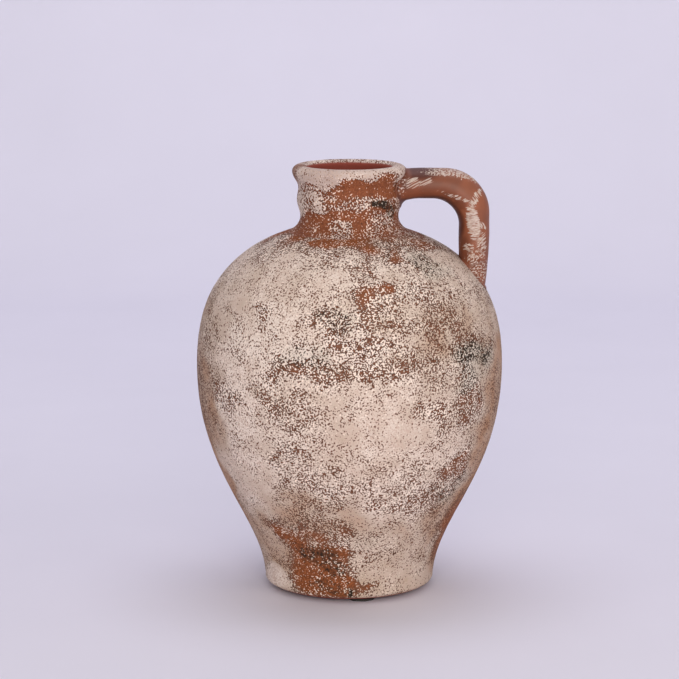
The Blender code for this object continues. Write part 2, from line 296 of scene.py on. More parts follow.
NECK_FINISH = {
    "proud slip highlight": "#EEDACD",
    "tan slip": "#B09A94",
    "red clay": "#9A5B3A",
    "brown clay": "#885137",
    "shaded clay": "#7C462E",
    "worn clay": "#7E452C",
    "pit shade and dirt": "#54301F",
}

# Studio: lights as name, place, target, size, power and colour
WORLD_STRENGTH = 0.46
LIGHTS = (
    ("key", (0.08, -1.9, 0.50), (0, 0, 0.17), 1.2, 22.5, "#FFF7EE"),
    ("fill", (1.6, -1.3, 0.9), (0, 0, 0.17), 1.2, 5.0, "#FFF8F0"),
    ("wall", (0.0, 0.5, 2.2), (0, 1.8, 0.5), 1.6, 20.0, "#F4F2FF"),
)
SWEEP_HALF_WIDTH = 4.0
SWEEP_FRONT = -3.0
SWEEP_BEND_START = 1.2
SWEEP_BEND = 0.6
SWEEP_BEND_STEPS = 24
SWEEP_TOP = 3.5


def srgb(code):
    """A hex colour as linear RGBA."""
    values = [int(code[start : start + 2], 16) / 255 for start in (1, 3, 5)]
    linear = [v / 12.92 if v <= 0.04045 else ((v + 0.055) / 1.055) ** 2.4 for v in values]
    return (*linear, 1.0)


# Profiles are lists of (radius, height) points


def bezier(start, start_pull, end_pull, end, step):
    """Points of a cubic curve, about one step apart, both ends included."""
    steps = max(2, round(math.dist(start, end) / step))
    points = []
    controls = (start, start_pull, end_pull, end)
    for index in range(steps + 1):
        t = index / steps
        shares = ((1 - t) ** 3, 3 * t * (1 - t) ** 2, 3 * t * t * (1 - t), t**3)
        points.append(tuple(sum(s * c[axis] for s, c in zip(shares, controls)) for axis in (0, 1)))
    return points


def ease(start, end, step):
    """Points of a soft swell between two heights, without its start."""
    steps = max(2, round(math.dist(start, end) / step))
    points = []
    for index in range(1, steps + 1):
        t = index / steps
        blend = (1 - math.cos(math.pi * t)) / 2
        points.append((start[0] + (end[0] - start[0]) * blend, start[1] + (end[1] - start[1]) * t))
    return points


def arc(centre, across, up, start, end, steps):
    """Points of an elliptical arc between two angles, both ends included."""
    angles = [start + (end - start) * index / steps for index in range(steps + 1)]
    return [(centre[0] + across * math.cos(a), centre[1] + up * math.sin(a)) for a in angles]


def offset(points, distance):
    """The points of a climbing profile, moved square to it: outwards, or inwards if distance is negative."""
    moved = []
    for index, (radius, height) in enumerate(points):
        before = points[max(index - 1, 0)]
        after = points[min(index + 1, len(points) - 1)]
        run, climb = after[0] - before[0], after[1] - before[1]
        length = math.hypot(run, climb)
        moved.append((radius + distance * climb / length, height - distance * run / length))
    return moved


def lower_outline(step):
    """Outer side of the lower body, from the rounded edge of the foot up to the belly's widest line."""
    rise = BELLY_HEIGHT - BASE_HEIGHT - FOOT_EDGE_HEIGHT
    foot = (FOOT_RADIUS, BASE_HEIGHT + FOOT_EDGE_HEIGHT)
    pull = FOOT_FULLNESS * rise
    foot_pull = (foot[0] + pull * math.sin(FOOT_LEAN), foot[1] + pull * math.cos(FOOT_LEAN))
    belly_pull = (BELLY_RADIUS, BELLY_HEIGHT - LOWER_BELLY_FULLNESS * rise)
    return bezier(foot, foot_pull, belly_pull, (BELLY_RADIUS, BELLY_HEIGHT), step)


def upper_outline(step):
    """Outer side of the upper body, from the belly's widest line up to the foot of the neck."""
    rise = NECK_FOOT_HEIGHT - BELLY_HEIGHT
    pull = SHOULDER_FULLNESS * (BELLY_RADIUS - NECK_FOOT_RADIUS)
    neck_foot = (NECK_FOOT_RADIUS, NECK_FOOT_HEIGHT)
    across, down = pull * math.cos(SHOULDER_SLOPE), pull * math.sin(SHOULDER_SLOPE)
    shoulder_pull = (neck_foot[0] + across, neck_foot[1] - down)
    belly_pull = (BELLY_RADIUS, BELLY_HEIGHT + UPPER_BELLY_FULLNESS * rise)
    return bezier((BELLY_RADIUS, BELLY_HEIGHT), belly_pull, shoulder_pull, neck_foot, step)


def neck_outline(step):
    """Outer side of the neck, from its foot up to the widest line of the lip."""
    neck_foot = (NECK_FOOT_RADIUS, NECK_FOOT_HEIGHT)
    across = (NECK_FOOT_RADIUS - WAIST_RADIUS) / 2
    foot_pull = (neck_foot[0] - across, neck_foot[1] + across * math.tan(SHOULDER_SLOPE))
    waist_pull = (WAIST_RADIUS, (WAIST_HEIGHT + NECK_FOOT_HEIGHT) / 2)
    points = bezier(neck_foot, foot_pull, waist_pull, (WAIST_RADIUS, WAIST_HEIGHT), step)
    ridge, collar, lip = (RIDGE_PROUD, RIDGE_HEIGHT), (COLLAR_PROUD, COLLAR_HEIGHT), (LIP_PROUD, LIP_HEIGHT)
    for proud, height in (ridge, collar, lip):
        points += ease(points[-1], (WAIST_RADIUS + proud, height), step)
    return points


def lip_crown(steps):
    """Rounded top of the lip, from its outer side over to the bore."""
    half = (WAIST_RADIUS + LIP_PROUD - BORE_RADIUS) / 2
    return arc((BORE_RADIUS + half, LIP_HEIGHT), half, LIP_CROWN, 0, math.pi, steps)


LIP_SIDE = lip_crown(CROWN_STEPS)[1 : CROWN_STEPS // 2 + 1]
OUTLINE = lower_outline(OUTER_STEP) + upper_outline(OUTER_STEP)[1:] + neck_outline(NECK_STEP)[1:] + LIP_SIDE
OUTLINE_RADII, OUTLINE_HEIGHTS = zip(*OUTLINE)


# Random swells and soft steps, for arrays of points


def cloud(points, period, seed):
    """Soft random swells at each point, mostly within -2 to 2, from crossed waves of about this length."""
    random = np.random.default_rng(seed)
    ways = random.normal(size=(3, CLOUD_WAVES))
    ways /= np.linalg.norm(ways, axis=0)
    lengths = period * random.uniform(0.7, 1.5, CLOUD_WAVES)
    starts = random.uniform(0, 2 * math.pi, CLOUD_WAVES)
    waves = np.sin(points @ (ways * 2 * math.pi / lengths) + starts)
    return waves.sum(axis=1) * math.sqrt(2 / CLOUD_WAVES)


def smooth(value, low, high):
    """0 below low, 1 above high, and a soft step between them."""
    share = np.clip((value - low) / (high - low), 0, 1)
    return share * share * (3 - 2 * share)


# Meshes


def spun(name, profile, closed):
    """A profile turned about the vessel's axis into one closed skin."""
    shape = bmesh.new()
    points = [shape.verts.new((radius, 0, height)) for radius, height in profile]
    edges = [shape.edges.new(pair) for pair in zip(points, points[1:])]
    if closed:
        edges.append(shape.edges.new((points[-1], points[0])))
    whole_turn = {"cent": (0, 0, 0), "axis": (0, 0, 1), "angle": 2 * math.pi, "use_merge": True}
    bmesh.ops.spin(shape, geom=points + edges, steps=RING_STEPS, **whole_turn)
    bmesh.ops.remove_doubles(shape, verts=shape.verts, dist=WELD)
    bmesh.ops.recalc_face_normals(shape, faces=shape.faces)
    piece = finished(name, shape)
    piece.data.vertices.foreach_set("co", drawn_in(places(piece)).ravel())
    piece.data.update()
    return piece


def places(piece):
    """The mesh's points as an array, in metres."""
    points = np.empty(len(piece.data.vertices) * 3)
    piece.data.vertices.foreach_get("co", points)
    return points.reshape(-1, 3)


def drawn_in(points):
    """The points moved a little towards the axis, as a thrown and scraped wall is."""
    swell = cloud(points, WOBBLE_PERIOD, seed=5)
    mark = cloud(points * (0, 0, 1), THROWING_PERIOD, seed=6)
    inward = WOBBLE * smooth(swell, -2, 2) + THROWING_MARK * smooth(mark, -2, 2)
    inward *= smooth(points[:, 2], BASE_HEIGHT, BASE_HEIGHT + FOOT_EDGE_HEIGHT)
    radius = np.hypot(points[:, 0], points[:, 1])
    share = 1 - np.where(radius > NEAR_AXIS, inward / np.maximum(radius, NEAR_AXIS), 0)
    return points * np.stack([share, share, np.ones(len(points))], axis=1)


def finished(name, shape):
    """The shape as a smoothly shaded piece."""
    mesh = bpy.data.meshes.new(name)
    shape.to_mesh(mesh)
    shape.free()
    mesh.shade_smooth()
    mesh.set_sharp_from_angle(angle=SHARP_ANGLE)
    piece = bpy.data.objects.new(name, mesh)
    bpy.context.scene.collection.objects.link(piece)
    return piece


def make_bowl():
    """Lower body, with its floor, its hollowed foot and the tongue that fits into the upper body."""
    wall = offset(lower_outline(INNER_STEP), -BODY_WALL)
    wall_radii, wall_heights = zip(*wall)
    corner_height = FLOOR_HEIGHT + FLOOR_CORNER
    corner_radius = float(np.interp(corner_height, wall_heights, wall_radii))
    corner = (corner_radius - FLOOR_CORNER, corner_height)
    foot_flat = FOOT_RADIUS - FOOT_EDGE_WIDTH
    foot_edge = (foot_flat, BASE_HEIGHT + FOOT_EDGE_HEIGHT)
    hollow = foot_flat - FOOT_RING_WIDTH
    hollow_top = BASE_HEIGHT + FOOT_HOLLOW_DEPTH
    tongue_radius = MID_WALL_RADIUS - JOINT_GAP / 2
    tongue_top = BELLY_HEIGHT + LAP_HEIGHT

    profile = [(corner[0] * share, FLOOR_HEIGHT) for share in (0, 0.25, 0.5, 0.75)]
    profile += arc(corner, FLOOR_CORNER, FLOOR_CORNER, -math.pi / 2, 0, CORNER_STEPS)
    profile += [point for point in wall if point[1] > corner_height + NEAR_CORNER]
    profile.append((BELLY_RADIUS - BODY_WALL, tongue_top))
    profile += [(tongue_radius, tongue_top), (tongue_radius, BELLY_HEIGHT)]
    profile += reversed(lower_outline(OUTER_STEP)[1:])
    profile += arc(foot_edge, FOOT_EDGE_WIDTH, FOOT_EDGE_HEIGHT, 0, -math.pi / 2, FOOT_EDGE_STEPS)
    profile += [(hollow, BASE_HEIGHT), (hollow - FOOT_HOLLOW_DEPTH, hollow_top)]
    profile += [(hollow / 2, hollow_top), (0, hollow_top)]
    return spun("bowl_skin", profile, False)


def neck_seat():
    """Inner wall of the upper body, and the heights of its upper end and of the neck's ledge."""
    wall = offset(upper_outline(INNER_STEP), -BODY_WALL)
    inside = wall[-1][1]
    return wall, inside, (NECK_FOOT_HEIGHT + inside) / 2


def make_shoulder():
    """Upper body, which laps over the tongue of the lower body."""
    wall, inside, ledge = neck_seat()
    lap_radius = MID_WALL_RADIUS + JOINT_GAP / 2
    lap_top = BELLY_HEIGHT + LAP_HEIGHT + JOINT_GAP
    least_radius = SEAT_HOLE_RADIUS + NEAR_CORNER

    profile = list(reversed(upper_outline(OUTER_STEP)))
    profile += [(lap_radius, BELLY_HEIGHT), (lap_radius, lap_top), (BELLY_RADIUS - BODY_WALL, lap_top)]
    profile += [point for point in wall if point[1] > lap_top + NEAR_CORNER and point[0] > least_radius]
    profile += [(SEAT_HOLE_RADIUS, inside), (SEAT_HOLE_RADIUS, ledge), (NECK_FOOT_RADIUS, ledge)]
    return spun("shoulder_skin", profile, True)


def make_neck():
    """Neck with its ridge, collar and lip, on the flange and the spigot that seat it."""
    inside, ledge = neck_seat()[1:]
    spigot_radius = SEAT_HOLE_RADIUS - JOINT_GAP
    bore_start = inside + BORE_BEVEL
    bore_steps = round((LIP_HEIGHT - inside) / BORE_STEP)

    profile = list(reversed(neck_outline(NECK_STEP)))
    profile += [(NECK_FOOT_RADIUS, ledge + JOINT_GAP), (spigot_radius, ledge + JOINT_GAP)]
    profile += [(spigot_radius, inside), (BORE_RADIUS + BORE_BEVEL, inside)]
    for index in range(1, bore_steps):
        profile.append((BORE_RADIUS, bore_start + (LIP_HEIGHT - bore_start) * index / bore_steps))
    profile += list(reversed(lip_crown(CROWN_STEPS)))[:-1]
    return spun("neck_skin", profile, True)


# The handle


def handle_edge(side, top, bend, root_drop, draw):
    """One edge of the handle, seen from the front: out of the neck, round the bend, down to the shoulder."""
    points = [(HANDLE_ROOT, top - root_drop)]
    for share in ROOT_SHARES:
        left = (1 + math.cos(math.pi * share)) / 2
        points.append((WAIST_RADIUS + HANDLE_ROOT_LENGTH * share, top - root_drop * left))
    points += arc((side - bend, top - bend), bend, bend, math.pi / 2, 0, BEND_STEPS)
    limb_start = top - bend
    for share in LIMB_SHARES:
        height = limb_start + (HANDLE_END - limb_start) * share
        below = max(0.0, LIMB_TURN_HEIGHT - height) / LIMB_DRAW_HEIGHT
        points.append((side - draw * below * below, height))
    return points


HANDLE_INNER = HANDLE_OUTER - HANDLE_THICKNESS
INNER_EDGE = handle_edge(HANDLE_INNER, HANDLE_TOP - HANDLE_THICKNESS, INNER_BEND, INNER_ROOT_DROP, 0.0)
OUTER_EDGE = handle_edge(HANDLE_OUTER, HANDLE_TOP, OUTER_BEND, OUTER_ROOT_DROP, LIMB_DRAW)
HANDLE_EDGES = np.hstack([INNER_EDGE, OUTER_EDGE])
CENTRE_LINE = (HANDLE_EDGES[:, :2] + HANDLE_EDGES[:, 2:]) / 2
PATH_LENGTHS = np.concatenate([[0], np.cumsum(np.hypot(*np.diff(CENTRE_LINE, axis=0).T))])


def strap_point(distance, angle):
    """A point of the handle's surface, and the centre it lies round. The angle runs from the outer side."""
    inner_across, inner_up, outer_across, outer_up = (
        float(np.interp(distance, PATH_LENGTHS, HANDLE_EDGES[:, column])) for column in range(4)
    )
    centre = Vector((inner_across + outer_across, 0, inner_up + outer_up)) / 2
    outward = Vector((outer_across - inner_across, 0, outer_up - inner_up)) / 2
    half_width = HANDLE_WIDTH * outward.length / HANDLE_THICKNESS
    return centre + outward * math.cos(angle) + Vector((0, half_width * math.sin(angle), 0)), centre


def clearance(place):
    """How far a place lies outside the vessel, measured level."""
    return math.hypot(place[0], place[1]) - float(np.interp(place[2], OUTLINE_HEIGHTS, OUTLINE_RADII))


def crossing(angle, inside, outside):
    """Distance along the centre line where one line of the handle comes out of the vessel's wall."""
    for _ in range(HALVINGS):
        middle = (inside + outside) / 2
        if clearance(strap_point(middle, angle)[0]) > -ROOT_SINK:
            outside = middle
        else:
            inside = middle
    return (inside + outside) / 2


def fillet(angle, at_the_neck):
    """Radius of the clay smoothed into the corner between the handle and the vessel."""
    side = math.sin(angle) ** 2
    under = max(0.0, -math.cos(angle))
    if at_the_neck:
        return NECK_FILLET * (NECK_FILLET_LEAST + (1 - NECK_FILLET_LEAST) * max(side, under))
    return SHOULDER_FILLET * (SHOULDER_FILLET_LEAST + (1 - SHOULDER_FILLET_LEAST) * side)


def make_handle():
    """Oval strap, wrapped from a flat sheet whose two long edges are joined."""
    shape = bmesh.new()
    bmesh.ops.create_grid(shape, x_segments=HANDLE_RINGS, y_segments=HANDLE_SIDES, size=0.5)
    whole = PATH_LENGTHS[-1]
    ends = {}
    for vert in shape.verts:
        turn = round(vert.co.y + 0.5, 6) % 1.0
        angle = 2 * math.pi * turn
        if turn not in ends:
            first = crossing(angle, 0.0, whole * OPEN_SHARES[0])
            ends[turn] = (first, crossing(angle, whole, whole * OPEN_SHARES[1]))
        first, last = ends[turn]
        share = vert.co.x + 0.5
        place, centre = strap_point(first + (last - first) * share, angle)
        radius = fillet(angle, share < 0.5)
        depth = min(max(clearance(place) + FILLET_SINK, 0.0), radius) / radius
        grow = radius * (1 - math.sqrt(1 - (1 - depth) ** 2))
        dent = HANDLE_WOBBLE * (0.5 + noise.noise(place / HANDLE_WOBBLE_PERIOD) / NOISE_SPAN)
        vert.co = place + (place - centre).normalized() * (grow - max(dent, 0.0))
    bmesh.ops.remove_doubles(shape, verts=shape.verts, dist=WELD)
    bmesh.ops.holes_fill(shape, edges=[edge for edge in shape.edges if edge.is_boundary], sides=0)
    bmesh.ops.recalc_face_normals(shape, faces=shape.faces)
    return finished("handle_strap", shape)


def make_pad(node):
    """Round rubber pad with a softened rim."""
    low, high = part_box(node)
    radius = (high[0] - low[0]) / 2
    disc = {"radius1": radius, "radius2": radius, "depth": high[2] - low[2], "segments": PAD_SIDES}
    shape = bmesh.new()
    bmesh.ops.create_cone(shape, cap_ends=True, **disc)
    rims = [edge for edge in shape.edges if abs(edge.verts[0].co.z - edge.verts[1].co.z) < WELD]
    soft = {"offset": PAD_EDGE, "segments": PAD_EDGE_STEPS, "profile": 0.5, "material": -1}
    bmesh.ops.bevel(shape, geom=rims, affect="EDGES", **soft)
    bmesh.ops.translate(shape, verts=shape.verts, vec=[(a + b) / 2 for a, b in zip(low, high)])
    return finished(node.replace("pad", "foot_pad"), shape)


# Painting: masks kept on the meshes as attributes


def brushed(start, across, up, strokes):
    """A mask after soft round brush strokes: each is (across, up, half width, half height, level)."""
    value = start.copy()
    for centre_across, centre_up, half_width, half_height, level in strokes:
        sideways = (across - centre_across + 180) % 360 - 180
        distance = np.hypot(sideways / half_width, (up - centre_up) / half_height)
        value += (level - value) * smooth(-distance, -STROKE_END, -STROKE_FULL)
    return value


def paint(piece, name, values):
    """The mask, kept on the piece's mesh."""
    attribute = piece.data.attributes.new(name, "FLOAT", "POINT")
    attribute.data.foreach_set("value", np.asarray(values, dtype=np.float32))


# Strokes on the body: degrees from the front towards the handle, millimetres up, half sizes, level

SLIP_ON_THE_BODY = (
    (0, 120, 400, 200, 0.68),
    # slip down the flanks
    (-73, 142, 12, 40, 0.52),
    (-62, 158, 9, 22, 0.74),
    (-66, 64, 12, 16, 0.94),
    (57, 118, 14, 76, 0.76),
    (50, 98, 8, 15, 0.18),
    (71, 178, 9, 20, 0.76),
    # fuller slip on the left shoulder and down the left side
    (-54, 222, 32, 27, 0.86),
    (-24, 204, 13, 15, 0.86),
    (-8, 231, 9, 7, 1.04),
    (-44, 182, 14, 15, 0.82),
    (-60, 193, 9, 8, 0.94),
    (-47, 168, 8, 12, 0.92),
    (-38, 147, 9, 9, 0.90),
    (-48, 108, 15, 32, 0.94),
    (-60, 92, 9, 18, 1.02),
    (-72, 84, 13, 22, 0.88),
    # fuller slip over the middle
    (2, 191, 12, 5, 0.42),
    (8, 150, 24, 18, 0.84),
    (16, 130, 26, 12, 0.96),
    (6, 110, 24, 12, 0.77),
    (36, 115, 16, 9, 0.80),
    (27, 99, 12, 7, 0.68),
    (4, 65, 14, 9, 0.96),
    # right shoulder
    (71, 231, 15, 13, 0.92),
    (73, 212, 11, 14, 0.74),
    (52, 221, 7, 6, 0.66),
    (21, 231, 9, 6, 0.84),
    # front of the foot
    (24, 40, 24, 18, 0.76),
    (46, 36, 10, 12, 0.84),
    (33, 19, 26, 11, 0.92),
    (66, 10, 22, 8, 1.10),
    # speckled places
    (-40, 205, 6, 7, 0.36),
    (-74, 201, 8, 15, 0.68),
    (-70, 241, 18, 5, 0.70),
    (-10, 203, 8, 8, 0.34),
    (10, 222, 9, 11, 0.14),
    (11, 207, 11, 9, 0.42),
    (38, 208, 13, 14, 0.44),
    (51, 211, 6, 6, 0.72),
    (24, 214, 8, 7, 0.60),
    (33, 191, 12, 6, 0.62),
    (25, 183, 14, 9, 0.54),
    (12, 174, 14, 9, 0.44),
    (40, 168, 8, 8, 0.50),
    (54, 181, 13, 12, 0.40),
    (-19, 173, 9, 9, 0.34),
    (-2, 172, 9, 6, 0.40),
    (2, 161, 9, 5, 0.70),
    (-51, 149, 7, 8, 0.50),
    (-30, 153, 6, 12, 0.42),
    (-18, 140, 9, 8, 0.48),
    (-15, 123, 9, 6, 0.70),
    (-24, 110, 9, 10, 0.50),
    (-10, 102, 8, 7, 0.66),
    (-21, 91, 10, 9, 0.58),
    (-7, 82, 9, 8, 0.54),
    (-40, 78, 10, 12, 1.00),
    (-25, 77, 9, 7, 0.68),
    (-44, 62, 13, 9, 1.00),
    (24, 77, 11, 8, 0.46),
    (37, 140, 13, 9, 0.46),
    (42, 130, 6, 5, 0.54),
    (51, 149, 6, 17, 0.30),
    (51, 121, 6, 5, 0.84),
    (44, 76, 10, 12, 0.44),
    (52, 57, 12, 10, 0.64),
    (76, 46, 17, 27, 0.04),
    # bare clay at the front left of the foot, in a wide soft border
    (-58, 40, 18, 26, 0.76),
    (-20, 50, 27, 16, 0.44),
    (-18, 22, 27, 24, 0.40),
    (-31, 50, 17, 9, 0.10),
    (-22, 25, 21, 21, -0.10),
    (-6, 12, 19, 8, -0.10),
    (-6, 33, 8, 9, 0.16),
    (7, 45, 9, 8, 0.86),
    (2, 19, 8, 7, -0.05),
    (7, 11, 9, 4, 0.05),
    (-9, 60, 6, 5, 0.50),
    # painted light: full slip along the foot's lower left edge lifts the shade of its rounded edge
    (-61, 8, 21, 7, 1.20),
    (-49, 21, 7, 5, 0.56),
    # scrubbed clay at the root of the neck
    (-50, 249, 40, 6, 0.40),
    (8, 246, 42, 8, 0.52),
    (0, 263, 400, 13, -0.04),
    (-32, 250, 16, 4, 0.42),
    (0, 242, 15, 5, 0.60),
    (32, 241, 9, 6, 0.22),
    (41, 240, 8, 6, 0.64),
    (54, 240, 7, 6, 0.34),
    (58, 250, 26, 5, 0.20),
)

SOOT_ON_THE_BODY = (
    (54, 176, 11, 12, 0.80),
    (50, 162, 9, 9, 0.62),
    (-18, 182, 9, 9, 0.52),
    (-8, 205, 8, 7, 0.48),
    (46, 239, 14, 8, 0.58),
    (38, 246, 20, 4, 0.22),
    (50, 81, 11, 10, 0.38),
    (-28, 43, 13, 5, 0.30),
    (-19, 37, 9, 6, 0.62),
    (9, 47, 9, 5, 0.24),
    (-9, 28, 11, 9, 0.44),
    (-8, 11, 18, 5, 0.34),
    (3, 9, 1.2, 5, 0.95),
)

# How tan the slip is: grey white at 0, tan at 1, brown at 2
TAN_ON_THE_BODY = (
    (-54, 226, 32, 24, 0.50),
    (-70, 190, 16, 20, 0.50),
    (62, 226, 20, 26, 0.70),
    (10, 140, 30, 44, 0.58),
    (28, 190, 22, 22, 0.80),
    (42, 196, 20, 18, 1.12),
    (-78, 196, 12, 22, 1.05),
    (-30, 190, 20, 26, 0.00),
    (-46, 140, 10, 38, 0.00),
    (0, 26, 400, 36, 0.87),
    (-60, 35, 26, 29, 1.34),
    (-18, 66, 26, 18, 1.25),
    (54, 62, 18, 18, 1.32),
    (-2, 190, 18, 13, 0.10),
    (-74, 138, 18, 42, 1.50),
    (-80, 84, 13, 40, 1.80),
    (76, 116, 19, 84, 1.62),
    (74, 26, 16, 14, 1.20),
    (76, 54, 15, 37, 2.25),
    # painted light: pale untanned slip along the foot's lower left edge lifts the shade of its rounded edge
    (-66, 9, 26, 8, 0.05),
)

SLIP_ON_THE_NECK = (
    (0, 264, 400, 6, -0.04),
    (-64, 261, 34, 7, -0.16),
    (-11, 260, 11, 8, 0.42),
    (44, 262, 24, 7, 0.32),
    (6, 262, 6, 8, -0.06),
    (50, 251, 26, 3, 0.26),
    # ridge
    (0, 275, 400, 4.5, 0.34),
    (-68, 274, 30, 6, 0.70),
    (-40, 271, 18, 4.5, 0.60),
    (5, 279, 16, 3.5, 0.34),
    (42, 271, 23, 5, -0.06),
    (-12, 271, 11, 5, -0.12),
    (12, 270, 8, 3, 0.42),
    # collar
    (34, 285, 46, 5.0, -0.28),
    (-30, 284, 14, 3.5, 0.38),
    (-48, 279, 14, 3, 0.60),
    (-66, 284, 22, 3.5, 0.56),
    (-72, 291, 18, 3.5, 0.78),
    # lip, with runs of slip under it
    (0, 298.5, 400, 5.5, 0.97),
    (180, 300, 84, 5.0, 0.58),
    (-82, 297, 16, 5.0, 0.60),
    (-34, 292, 22, 3.2, 1.00),
    (-28, 289, 8, 2.6, 0.84),
    (24, 292.5, 10, 1.6, 0.56),
    (64, 292, 14, 2.6, 0.46),
)

SOOT_ON_THE_NECK = (
    (40, 272, 19, 4.5, 0.85),
    (57, 270, 11, 5, 0.65),
)

TAN_AND_SHADE_ON_THE_NECK = (
    (0, 299, 400, 8, 0.70),
    (62, 298, 26, 7, 0.25),
    (180, 300, 84, 5, 0.20),
    # painted shade: the lip's left end is made browner
    (-84, 298, 16, 8, 1.70),
    (-70, 276, 40, 10, 0.30),
)

# Brush marks on the handle: millimetres from the axis, millimetres up, half length, half width and lean in
# degrees of the marked place, its level, then the lean, length and width of one bristle's streak

MARKS_ON_THE_STRAP = (
    (44.0, 288.4, 6.0, 4.2, 12, 0.56, 28, 9.0, 0.80),
    (53.0, 288.6, 5.5, 2.6, 26, 0.42, 28, 9.0, 0.80),
    (74.0, 278.7, 12.0, 1.7, -18, 0.46, 27, 5.0, 1.0),
    (87.8, 278.4, 7.4, 3.0, 54, 0.56, -50, 4.5, 0.9),
    (86.0, 260.5, 13.0, 5.0, -80, 0.86, 7, 4.5, 0.9),
    (93.0, 258.3, 3.2, 2.0, -55, 0.80, -55, 5.0, 1.0),
    (82.8, 243.4, 4.0, 3.0, 10, 0.60, 15, 2.2, 0.9),
    (92.0, 246.0, 3.8, 8.0, 0, 0.58, 32, 4.0, 0.9),
    (88.0, 236.0, 7.0, 6.0, 0, 0.50, 60, 1.8, 1.0),
    (90.5, 226.0, 8.0, 9.0, 0, 0.40, 0, 1.2, 1.0),
    (66.0, 295.0, 18.0, 1.6, 0, 0.30, 0, 1.2, 1.0),
    (36.0, 288.0, 3.5, 10.0, 0, 0.30, 0, 1.6, 1.4),
)

# Darkened clay on the handle, as strokes of the same form as on the body but in millimetres: stains, and
# painted shade on the limb's inner side and lower end
STAINS_AND_SHADE_ON_THE_STRAP = (
    (58, 284, 20, 11, 0.30),
    (46, 296, 16, 5.5, 0.95),
    (39, 292, 4, 8, 0.65),
    (76, 273, 5, 4, 0.45),
    # painted shade on the limb's inner side and its lower end
    (79, 242, 5, 9, 0.45),
    (88, 228, 9, 8, 0.30),
)


def paint_vessel(piece, slip, soot, tan):
    """Masks of slip, soot and tan on a turned piece, and of its inner wall."""
    points = places(piece)
    none = np.zeros(len(points))
    azimuth = np.degrees(np.arctan2(points[:, 0], -points[:, 1]))
    azimuth += DRIFT_DEGREES * cloud(points, DRIFT_PERIOD, seed=1)
    height = points[:, 2] * 1000 + DRIFT_MILLIMETRES * cloud(points, DRIFT_PERIOD, seed=2)
    unseen = smooth(np.abs(azimuth), *UNSEEN_SIDE)
    patches = cloud(points, PATCH_PERIOD, seed=3)

    cover = brushed(none, azimuth, height, slip)
    cover += patches * (SEEN_PATCHES + (UNSEEN_PATCHES - SEEN_PATCHES) * unseen)
    cover += MOTTLE * cloud(points, MOTTLE_PERIOD, seed=7)
    unseen_soot = UNSEEN_SOOT * unseen * smooth(patches, *SOOTY_PATCHES)
    radius = np.hypot(points[:, 0], points[:, 1])
    inner_wall = radius < np.interp(points[:, 2], OUTLINE_HEIGHTS, OUTLINE_RADII) - INNER_DEPTH
    inner_rim = smooth(-radius, -BORE_RADIUS - BARE_RIM[1], -BORE_RADIUS - BARE_RIM[0])
    paint(piece, "slip", cover)
    paint(piece, "soot", brushed(none, azimuth, height, soot) + unseen_soot)
    paint(piece, "tan", brushed(none + PLAIN_TAN, azimuth, height, tan))
    paint(piece, "inside", np.where(points[:, 2] > LIP_HEIGHT, inner_rim, inner_wall))


def turned(across, up, lean):
    """Two measures, turned by a lean in degrees: along it and square to it."""
    cosine = math.cos(math.radians(lean))
    sine = math.sin(math.radians(lean))
    return across * cosine + up * sine, up * cosine - across * sine


def brush_marks(points, across, up):
    """Level of the slip on the handle's front, and the places that its bristles are combed from."""
    cover = np.full(len(points), BARE_STRAP)
    bristles = points * 1000 / BLOT_SIZE
    nearest = np.full(len(points), STROKE_END)
    for index, mark in enumerate(MARKS_ON_THE_STRAP):
        middle_across, middle_up, half_length, half_width, lean, level = mark[:6]
        streak_lean, streak_length, streak_width = mark[6:]
        along, aside = turned(across - middle_across, up - middle_up, lean)
        distance = np.hypot(along / half_length, aside / half_width)
        cover += (level - cover) * smooth(-distance, -STROKE_END, -STROKE_FULL)
        along, aside = turned(across, up, streak_lean)
        shift = np.full(len(points), BRISTLE_SHIFT * index)
        combed = np.stack([along / streak_length, aside / streak_width, shift], axis=1)
        closest = (distance < nearest) & (points[:, 1] < 0)
        bristles[closest] = combed[closest]
        nearest = np.minimum(nearest, distance)
    return cover, bristles


def paint_strap(piece):
    """Masks of the slip, of dark stains and painted shade on the handle, and the places of its bristles."""
    points = places(piece)
    across, up = points[:, 0] * 1000, points[:, 2] * 1000
    normals = np.empty(len(points) * 3)
    piece.data.vertices.foreach_get("normal", normals)
    normals = normals.reshape(-1, 3)

    cover, bristles = brush_marks(points, across, up)
    on_top = smooth(normals[:, 2], *TOP_FACING) * smooth(across, *TOP_START)
    bristles[on_top > 0.5] = points[on_top > 0.5] * 1000 / BLOT_SIZE
    front = smooth(-points[:, 1], *STRAP_FRONT)
    patches = cloud(points, STRAP_PATCH_PERIOD, seed=4)
    cover = cover * front + np.clip(patches * STRAP_PATCHES, 0, 1) * (1 - front)
    cover += (TOP_COVER - cover) * on_top

    # painted shade: the side of the handle that faces the loop's middle is darkened
    to_the_loop = np.array(LOOP_MIDDLE) - points * (1, 0, 1)
    to_the_loop /= np.linalg.norm(to_the_loop, axis=1)[:, None]
    painted_inner_shade = PAINTED_INNER_SHADE * smooth((normals * to_the_loop).sum(axis=1), *INNER_FACING)
    stain = brushed(np.zeros(len(points)), across, up, STAINS_AND_SHADE_ON_THE_STRAP)
    paint(piece, "slip", cover)
    paint(piece, "stain", np.maximum(stain, painted_inner_shade))
    attribute = piece.data.attributes.new("bristles", "FLOAT_VECTOR", "POINT")
    attribute.data.foreach_set("vector", bristles.astype(np.float32).ravel())


# Materials

# Sockets of a Mix node for colours, the settings that make it one, and those of a soft MapRange
SHARE, UNDER, OVER = 0, 6, 7
COLOURS = {"data_type": "RGBA", "out": 2}
SOFTLY = {"interpolation_type": "SMOOTHSTEP"}


